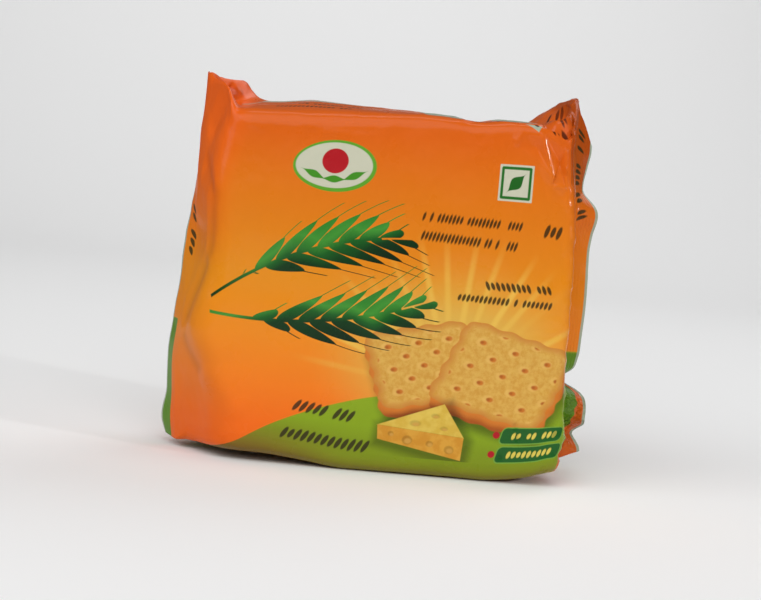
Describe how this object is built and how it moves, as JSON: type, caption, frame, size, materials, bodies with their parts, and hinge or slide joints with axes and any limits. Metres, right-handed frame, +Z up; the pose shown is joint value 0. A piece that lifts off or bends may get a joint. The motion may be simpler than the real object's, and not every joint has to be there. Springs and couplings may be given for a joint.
{
  "type": "pack of cheese crackers",
  "caption": "Shut flow-wrapped pack of cheese crackers: a squarish block in glossy printed film, with crimped upright end fins, crumpled corner ears and a flat lap seam along the back.",
  "frame": {"origin": "on the flat patch that the pack stands on, under the middle of its length and depth", "axes": "+Z up, -Y out of the printed front panel, +X along the pack to its right-hand end fin"},
  "size_m": [0.1335, 0.0518, 0.1207],
  "materials": {
    "printed_film": "glossy printed plastic film, orange to yellow with green and off-white areas"
  },
  "bodies": {
    "root": {"cracker_pack": "printed_film"}
  },
  "joints": []
}
